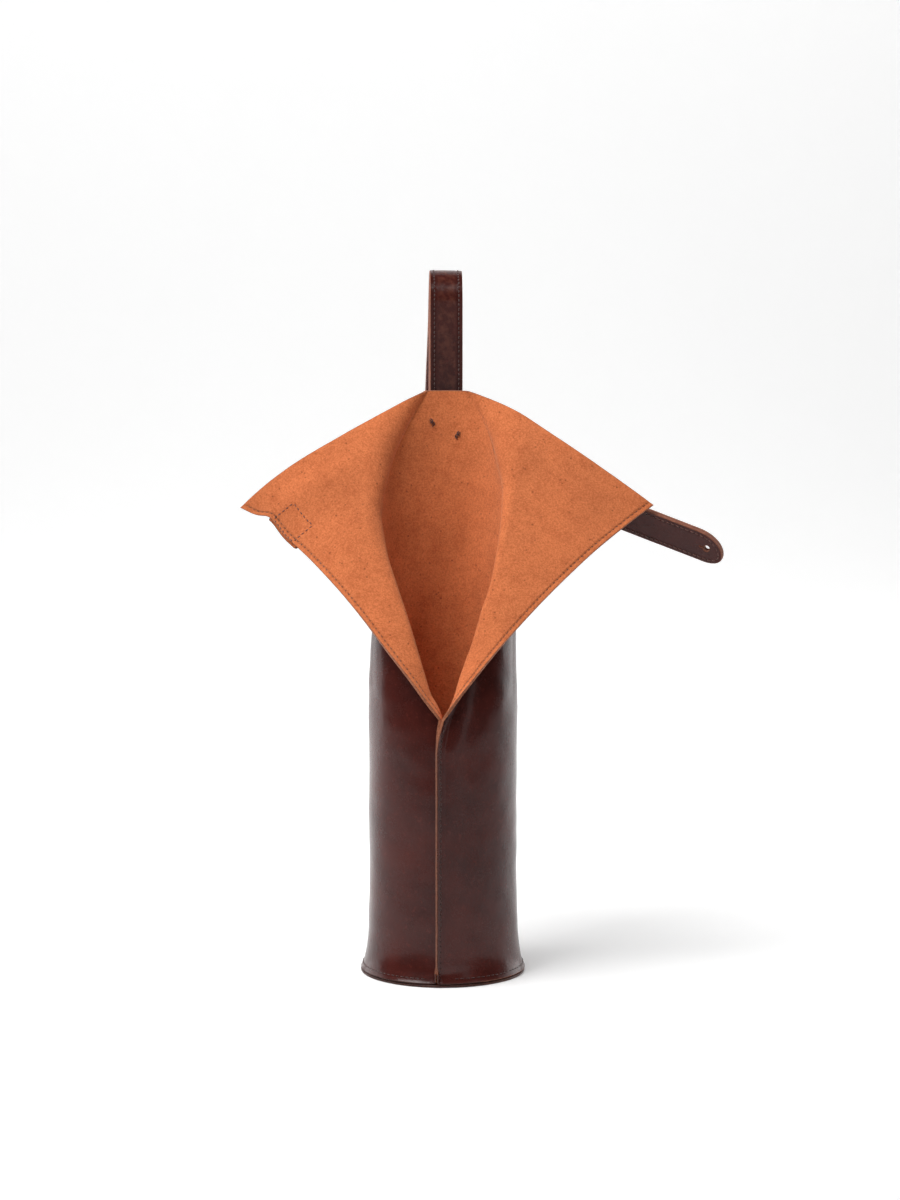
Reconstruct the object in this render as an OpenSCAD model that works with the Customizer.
// Leather bottle carrier: one panel rolled into a tube, closed by a turned-out
// front seam, sewn to a round base. Above the seam the panel opens into two
// lapels. A loop handle and a closing strap are sewn to the back.
// Millimetres. +Z up, the front seam faces -Y, origin at the centre of the
// base's underside.

/* [Body] */
// Outer radius of the round base
base_r = 51.5; // [45:0.5:55]
// Thickness of the leather base disc
base_t = 3; // [2:0.5:5]
// Outer radius of the leather tube
tube_r = 45.5; // [41:0.5:48]
// Thickness of the body leather
skin_t = 2; // [1.6:0.1:2.6]
// Height where the front seam ends and the lapels open
seam_z = 163; // [150:1:180]
// Height of the back edge above the floor
back_z = 355; // [340:1:370]
// How far the upper back leans away
back_lean = 11; // [0:1:20]
// Depth of the turned-out front seam
seam_d = 6; // [4:0.5:8]

/* [Lapels] */
// Distance of the edge stitching from the leather's edge
edge_inset = 3; // [2:0.5:5]
// Radius of the sewing thread as it lies on the leather
thread_r = 0.45; // [0.3:0.05:0.6]
// Clearance between neighbouring pieces where the leather folds
fold_gap = 0.6; // [0.4:0.1:1.2]
// Side of the square tab sewn behind the left lapel
tab_w = 21; // [18:1:26]
// Radius of the button's ball
ball_r = 3.8; // [3:0.1:5]

/* [Handle] */
// Width of the handle and of the closing strap
strap_w = 20; // [16:1:26]
// Thickness of one strap layer
layer_t = 2; // [1.5:0.1:2.5]
// Outer radius of the handle's arch
arch_r = 22; // [18:1:28]
// Height of the arch centre along the leaning back, from the seam's end
arch_h = 246; // [220:1:260]
// Sideways place of the handle's middle
handle_x = 1; // [-3:1:3]

/* [Closing strap] */
// Length from the middle of the back to the rounded tip
strap_len = 187; // [170:1:205]
// Distance from the back to the fold of the tip
tip_fold = 120; // [100:1:135]
// Angle at which the strap droops
strap_droop = 22; // [15:1:28]
// Radius of the button hole
hole_r = 2; // [1.5:0.1:3]

/* [Hidden] */
brown = [0.24, 0.10, 0.08];
suede = [0.78, 0.40, 0.22];
thread_c = [0.20, 0.09, 0.07];
metal = [0.72, 0.62, 0.40];
mid_r = tube_r - skin_t / 2;
rise = back_z - seam_z;
lean = atan(back_lean / rise);
seam_x = -4;

// Folds and free edges run from the seam's end to the panel's top edge.
ridge_l = [[-5, -mid_r, seam_z], [-2, -18, 226], [-58, 4, 290], [-30, 48, 347]];
ridge_r = [[-3, -mid_r, seam_z], [31, -22, 226], [35, 5, 290], [33, 47, 351]];
edge_l = [[-5, -mid_r - seam_d, seam_z], [-31, -48, 203], [-75, 0, 265], [-125, 28, 284]];
edge_r = [[-3, -mid_r - seam_d, seam_z], [26, -50, 201], [77, 2, 252], [130, 28, 285.5]];
ear_a = 0.15;

// A point on a cubic curve.
function bez(c, t) = pow(1 - t, 3) * c[0] + 3 * t * pow(1 - t, 2) * c[1]
    + 3 * t * t * (1 - t) * c[2] + pow(t, 3) * c[3];
function unit(v) = v / norm(v);
function rule(p, q, t) = p + (q - p) * t;

// The panel, by side g (-1 left, 1 right), height share a and distance s from
// the middle of the back, measured along the leather.
function half_len(g, a) = (g < 0 ? 135.7 - 96.7 * a : 143.7 - 104.7 * a);
function bend_r(a) = mid_r + 30 * pow(max(0, (a - 0.55) / 0.45), 2);
function arc_pt(g, a, s) = let (r = bend_r(a), w = s / r * 180 / PI)
    [g * r * sin(w), mid_r + back_lean * a - r * (1 - cos(w)), seam_z + rise * a];
function ridge_pt(g, a) = bez(g < 0 ? ridge_l : ridge_r, a);
function edge_pt(g, a) = bez(g < 0 ? edge_l : edge_r, a);
function trough_pt(g, a, s) = let (l = half_len(g, a))
    arc_pt(g, a, s) + pow(s / l, 4) * (ridge_pt(g, a) - arc_pt(g, a, l));
function lapel_w(g, a) = norm(edge_pt(g, a) - ridge_pt(g, a));
function wave(g, a, u) = g < 0
    ? 7 * sin(180 * pow(max(u, 0), 1.4)) * pow(a, 3) + 3 * sin(360 * a) * u
    : 5 * sin(180 * u) * pow(a, 3);
function lapel_pt(g, a, d) = let (u = d / lapel_w(g, a))
    rule(ridge_pt(g, a), edge_pt(g, a), u) + wave(g, a, u) * [g * 0.1, -0.89, 0.44];
function round_w(g, a) = min(4 + 17 * a * a, 0.45 * lapel_w(g, a));
function rolled(p, q, r, t) = let (k = 0.45, w0 = (1 - t) * (1 - t), w1 = 2 * k * t * (1 - t), w2 = t * t)
    (w0 * p + w1 * q + w2 * r) / (w0 + w1 + w2);
function panel_pt(g, a, s) = let (l = half_len(g, a), w = round_w(g, a))
    abs(s - l) < w
    ? rolled(trough_pt(g, a, l - w), ridge_pt(g, a), lapel_pt(g, a, w), (s - l + w) / (2 * w))
    : s < l ? trough_pt(g, a, s) : lapel_pt(g, a, s - l);
// Signed distance x runs left to right over the whole panel.
function sheet_pt(a, x) = panel_pt(x < 0 ? -1 : 1, a, abs(x));
// Unit normal towards the suede side.
function sheet_n(a, x) = let (e = 0.02, h = 0.2,
    da = sheet_pt(min(a + e, 1), x) - sheet_pt(max(a - e, 0), x),
    dx = sheet_pt(a, x + h) - sheet_pt(a, x - h)) unit(cross(dx, da));
function lifted(a, x, h) = sheet_pt(a, x) + h * sheet_n(a, x);

// Where the lapel folds: this far past the soft ridge.
function fold_at(g, a) = 6 + 26 * pow(max(0, (a - 0.5) / 0.5), 2);

// Columns across the panel as signed distances, for a row at share a.
function side_stops(g, a, n1, n2, last) = let (l = half_len(g, a), w = round_w(g, a))
    concat([for (i = [1 : n1]) (l - w) * i / n1],
           [for (i = [1 : n2]) (l - w) + (last - l + w) * i / n2]);
function both_sides(a, n1, n2, ll, lr) = let (
    lf = side_stops(-1, a, n1, n2, ll), rt = side_stops(1, a, n1, n2, lr), n = len(lf))
    concat([for (i = [0 : n - 1]) -lf[n - 1 - i]], [0], rt);

// A closed shell from a grid of points on each face, rows of equal length.
module shell(near, far) {
    r = len(near);
    c = len(near[0]);
    n = r * c;
    function at(i, j) = i * c + j;
    polyhedron(
        points = concat([for (row = near) for (p = row) p], [for (row = far) for (p = row) p]),
        faces = concat(
            [for (i = [0 : r - 2]) for (j = [0 : c - 2]) each [
                [at(i, j), at(i, j + 1), at(i + 1, j + 1)], [at(i, j), at(i + 1, j + 1), at(i + 1, j)]]],
            [for (i = [0 : r - 2]) for (j = [0 : c - 2]) each [
                [n + at(i, j), n + at(i + 1, j + 1), n + at(i, j + 1)], [n + at(i, j), n + at(i + 1, j), n + at(i + 1, j + 1)]]],
            [for (j = [0 : c - 2]) each [
                [at(0, j), n + at(0, j), n + at(0, j + 1)], [at(0, j), n + at(0, j + 1), at(0, j + 1)],
                [at(r - 1, j), n + at(r - 1, j + 1), n + at(r - 1, j)], [at(r - 1, j), at(r - 1, j + 1), n + at(r - 1, j + 1)]]],
            [for (i = [0 : r - 2]) each [
                [at(i, 0), n + at(i + 1, 0), n + at(i, 0)], [at(i, 0), at(i + 1, 0), n + at(i + 1, 0)],
                [at(i, c - 1), n + at(i, c - 1), n + at(i + 1, c - 1)], [at(i, c - 1), n + at(i + 1, c - 1), at(i + 1, c - 1)]]]));
}

// A round thread along a list of points.
module thread(path, r = thread_r, m = 6) {
    n = len(path);
    function dir(i) = unit(path[min(i + 1, n - 1)] - path[max(i - 1, 0)]);
    function ax(i) = let (d = dir(i)) unit(cross(d, abs(d[2]) < 0.9 ? [0, 0, 1] : [1, 0, 0]));
    pts = [for (i = [0 : n - 1]) let (u = ax(i), v = cross(dir(i), u))
        for (k = [0 : m - 1]) path[i] + r * (cos(360 * k / m) * u + sin(360 * k / m) * v)];
    polyhedron(points = pts, faces = concat(
        [[for (k = [0 : m - 1]) m - 1 - k]],
        [for (i = [0 : n - 2]) for (k = [0 : m - 1]) let (b = (k + 1) % m) each [
            [i * m + k, i * m + b, (i + 1) * m + b], [i * m + k, (i + 1) * m + b, (i + 1) * m + k]]],
        [[for (k = [0 : m - 1]) (n - 1) * m + k]]));
}

// The leaning plane of the back: x sideways, y out of the back, z up it.
module on_back() {
    translate([0, tube_r, seam_z]) rotate([-lean, 0, 0]) children();
}

// The closing strap's frame: x along the strap, y outwards, z across it.
strap_z = 158;
// Where the strap leaves its sewn end.
strap_exit = 18;
module on_strap() {
    on_back() translate([handle_x, 0.05, strap_z]) rotate([0, strap_droop, 0]) children();
}
// Beyond the sewn end the strap leaves the back, and its tip turns forward.
module on_run() {
    on_strap() translate([strap_exit, 2, 0]) rotate([0, 0, -8]) translate([-strap_exit, -2, 0]) children();
}
module on_tip() {
    on_run() translate([tip_fold, 2, 0]) rotate([0, -1, -6]) translate([-tip_fold, -2, 0]) children();
}

module base_disc() {
    color(brown) cylinder(h = base_t, r = base_r, $fn = 96);
}

module base_stiffener() {
    color(suede) translate([0, 0, base_t]) cylinder(h = 2, r = tube_r - skin_t - 0.4, $fn = 72);
}

// Tube with a foot that turns outwards onto the base.
module body_tube() {
    foot = 6;
    pts = concat(
        [[base_r - 0.4, base_t], [base_r - 0.4, base_t + skin_t]],
        [for (w = [0 : 18 : 90]) [tube_r + (foot - 2) * (1 - sin(w)), base_t + skin_t + (foot - 2) * (1 - cos(w))]],
        [[tube_r, seam_z - 0.15], [tube_r - skin_t, seam_z - 0.15]],
        [for (w = [90 : -18 : 0]) [tube_r - skin_t + foot * (1 - sin(w)), base_t + foot * (1 - cos(w))]]);
    color(brown) difference() {
        rotate_extrude($fn = 96) polygon(pts);
        translate([seam_x - skin_t, -base_r - 1, base_t - 1]) cube([2 * skin_t, 14, seam_z + 2]);
    }
}

// The two turned-out edges of the front seam, face to face.
module seam_fold_left() {
    color(suede) translate([seam_x - skin_t, -mid_r - seam_d, base_t])
        cube([skin_t, seam_d + 1, seam_z - base_t]);
}

module seam_fold_right() {
    color(suede) translate([seam_x, -mid_r - seam_d, base_t])
        cube([skin_t, seam_d + 1, seam_z - base_t]);
}

module seam_thread() {
    color(thread_c) translate([seam_x + skin_t, -mid_r - seam_d + edge_inset, base_t + 4])
        cylinder(h = seam_z - base_t - 6, r = thread_r, $fn = 16);
}

module base_thread() {
    color(thread_c) translate([0, 0, base_t + skin_t]) difference() {
        rotate_extrude($fn = 72) translate([base_r - 2.6, 0]) circle(r = thread_r, $fn = 12);
        translate([seam_x - skin_t, -base_r - 1, -2]) cube([2 * skin_t, 14, 4]);
    }
}

// Lowest part of the opening, where both lapels start from the seam.
module throat() {
    rows = [for (i = [0 : 5]) let (a = ear_a * i / 5)
        [a, both_sides(a, 9, 9, half_len(-1, a) + lapel_w(-1, a), half_len(1, a) + lapel_w(1, a))]];
    color(brown) shell(
        [for (q = rows) [for (x = q[1]) lifted(q[0], x, skin_t / 2)]],
        [for (q = rows) [for (x = q[1]) lifted(q[0], x, -skin_t / 2)]]);
}

// Upper back, up to both folds.
module back_panel() {
    rows = [for (i = [0 : 14]) let (a = ear_a + (1 - ear_a) * i / 14)
        [a, both_sides(a, 8, 7, half_len(-1, a) + fold_at(-1, a) - fold_gap / 2, half_len(1, a) + fold_at(1, a) - fold_gap / 2)]];
    color(brown) shell(
        [for (q = rows) [for (x = q[1]) lifted(q[0], x, skin_t / 2)]],
        [for (q = rows) [for (x = q[1]) lifted(q[0], x, -skin_t / 2)]]);
}

// One lapel, from its fold to its free edge.
module lapel(g) {
    a0 = ear_a + 0.008;
    rows = [for (i = [0 : 14]) let (a = a0 + (1 - a0) * i / 14, s0 = half_len(g, a) + fold_at(g, a) + fold_gap / 2,
        s1 = half_len(g, a) + lapel_w(g, a))
        [a, [for (j = [0 : 12]) g * rule(s0, s1, (g < 0 ? 12 - j : j) / 12)]]];
    color(brown) shell(
        [for (q = rows) [for (x = q[1]) lifted(q[0], x, skin_t / 2)]],
        [for (q = rows) [for (x = q[1]) lifted(q[0], x, -skin_t / 2)]]);
}

module left_lapel() { lapel(-1); }
module right_lapel() { lapel(1); }

module lapel_thread(g) {
    color(thread_c) thread([for (i = [0 : 22]) let (a = 0.18 + 0.8 * i / 22)
        lifted(a, g * (half_len(g, a) + lapel_w(g, a) - edge_inset), skin_t / 2)]);
}

module left_lapel_thread() { lapel_thread(-1); }
module right_lapel_thread() { lapel_thread(1); }

// Square tab on the outside of the left lapel, just past its free edge.
tab_lo = 0.755;
tab_hi = 0.88;
function tab_x(a, t) = -(half_len(-1, a) + lapel_w(-1, a) + 2 - tab_w * (1 - t));
module stud_tab() {
    color(brown) shell(
        [for (i = [0 : 5]) let (a = rule(tab_lo, tab_hi, i / 5))
            [for (j = [0 : 5]) lifted(a, tab_x(a, 1 - j / 5), -skin_t / 2 - 0.05)]],
        [for (i = [0 : 5]) let (a = rule(tab_lo, tab_hi, i / 5))
            [for (j = [0 : 5]) lifted(a, tab_x(a, 1 - j / 5), -1.5 * skin_t - 0.05)]]);
}

module stud_tab_thread() {
    function at(t, v) = let (a = rule(tab_lo, tab_hi, v)) lifted(a, tab_x(a, t), skin_t / 2);
    lo = 0.14;
    hi = 0.78;
    color(thread_c) thread(concat(
        [for (i = [0 : 4]) at(rule(lo, hi, i / 4), lo)],
        [for (i = [1 : 4]) at(hi, rule(lo, 1 - lo, i / 4))],
        [for (i = [1 : 4]) at(rule(hi, lo, i / 4), 1 - lo)]));
}

// The button stands on the tab's outer face.
stud_a = 0.817;
stud_x = tab_x(stud_a, 0.45);
stud_o = lifted(stud_a, stud_x, -1.5 * skin_t - 0.1);
stud_dir = -sheet_n(stud_a, stud_x);
module on_stud() {
    translate(stud_o) rotate([0, acos(stud_dir[2]), atan2(stud_dir[1], stud_dir[0])]) children();
}

module stud_post() {
    color(metal) on_stud() {
        cylinder(h = 1, r = 4.6, $fn = 36);
        translate([0, 0, 1]) cylinder(h = 1.8, r = 1.8, $fn = 32);
    }
}

module stud_ball() {
    color(metal) on_stud() translate([0, 0, 2.8 + ball_r * 0.8]) difference() {
        sphere(r = ball_r, $fn = 40);
        translate([0, 0, -ball_r - ball_r * 0.8]) cylinder(h = ball_r, r = ball_r, $fn = 40);
    }
}

// Both ends of the handle, sewn one over the other onto the back, across the
// closing strap's end.
module handle_end() {
    color(brown) on_back() translate([handle_x - strap_w / 2, 0, 0]) rotate([90, 0, 90])
        linear_extrude(height = strap_w)
            polygon([[0.05, 132], [0.05, 139], [4.15, 143.5], [4.15, 174], [12.9, 174], [12.9, 146], [8, 141], [8, 132]]);
}

module handle_end_thread() {
    color(thread_c) on_back() translate([handle_x, 12.95, 149]) rotate([90, 0, 0])
        linear_extrude(height = 0.8, center = true) difference() {
            square([16.8, 22], center = true);
            square([16, 21.2], center = true);
        }
}

// Handle layers are loops with a round arch that close at the bottom.
module loop_outline(grow) {
    hull() {
        translate([27.5, arch_h]) circle(r = arch_r - grow, $fn = 96);
        translate([8.55, 171]) circle(r = 4.4 - grow, $fn = 32);
    }
}

module handle_layer(lo, hi) {
    color(brown) on_back() translate([handle_x - strap_w / 2, 0, 0]) rotate([90, 0, 90])
        linear_extrude(height = strap_w) difference() {
            loop_outline(lo);
            loop_outline(hi);
            translate([-20, 140]) square([60, 35]);
        }
}

module handle_outer() { handle_layer(0, layer_t); }
module handle_inner() { handle_layer(layer_t, 2 * layer_t); }

module handle_thread() {
    color(thread_c) for (x = [handle_x - 8, handle_x + 8])
        on_back() translate([x - thread_r, 0, 0]) rotate([90, 0, 90])
            linear_extrude(height = 2 * thread_r) difference() {
                loop_outline(-0.3);
                loop_outline(0.3);
                translate([-20, 140]) square([60, 38]);
            }
}

// Sewn end of the closing strap, between the back and the handle's ends.
module strap_end() {
    color(brown) on_strap() translate([-11, 0, -strap_w / 2]) cube([strap_exit + 10.2, 2 * layer_t, strap_w]);
}

module strap_outline(x0, x1, tip) {
    if (tip) {
        translate([x0, -strap_w / 2]) square([x1 - x0 - strap_w / 2, strap_w]);
        translate([x1 - strap_w / 2, 0]) circle(r = strap_w / 2, $fn = 64);
    } else {
        translate([x0, -strap_w / 2]) square([x1 - x0, strap_w]);
    }
}

module run_layer(y0) {
    color(brown) on_run() translate([0, y0 + layer_t, 0]) rotate([90, 0, 0])
        linear_extrude(height = layer_t) strap_outline(strap_exit + 0.8, tip_fold - 0.8, false);
}

module strap_run_outer() { run_layer(layer_t); }
module strap_run_inner() { run_layer(0); }

module tip_layer(y0) {
    color(brown) on_tip() translate([0, y0 + layer_t, 0]) rotate([90, 0, 0])
        linear_extrude(height = layer_t) difference() {
            strap_outline(tip_fold + 0.8, strap_len, true);
            translate([strap_len - 12, 0]) circle(r = hole_r, $fn = 40);
            translate([strap_len - 18, -0.3]) square([5, 0.6]);
        }
}

module strap_tip_outer() { tip_layer(layer_t); }
module strap_tip_inner() { tip_layer(0); }

module strap_run_thread() {
    color(thread_c) on_run() for (z = [-8, 8])
        translate([strap_exit + 3, 0, z]) rotate([0, 90, 0]) cylinder(h = tip_fold - strap_exit - 6, r = thread_r, $fn = 12);
}

module strap_tip_thread() {
    color(thread_c) on_tip() {
        for (z = [-8, 8])
            translate([tip_fold + 2, 0, z]) rotate([0, 90, 0])
                cylinder(h = strap_len - tip_fold - 2 - strap_w / 2, r = thread_r, $fn = 12);
        translate([strap_len - strap_w / 2, 0, 0]) rotate([90, 90, 0]) rotate_extrude(angle = 180, $fn = 48)
            translate([8, 0]) circle(r = thread_r, $fn = 12);
    }
}

body_tube();
throat();
back_panel();
seam_fold_left();
seam_fold_right();
seam_thread();
base_disc();
base_stiffener();
base_thread();
handle_end();
handle_end_thread();
strap_end();
left_lapel();
left_lapel_thread();
stud_tab();
stud_tab_thread();
stud_post();
stud_ball();
right_lapel();
right_lapel_thread();
handle_outer();
handle_inner();
handle_thread();
strap_run_outer();
strap_run_inner();
strap_run_thread();
strap_tip_outer();
strap_tip_inner();
strap_tip_thread();
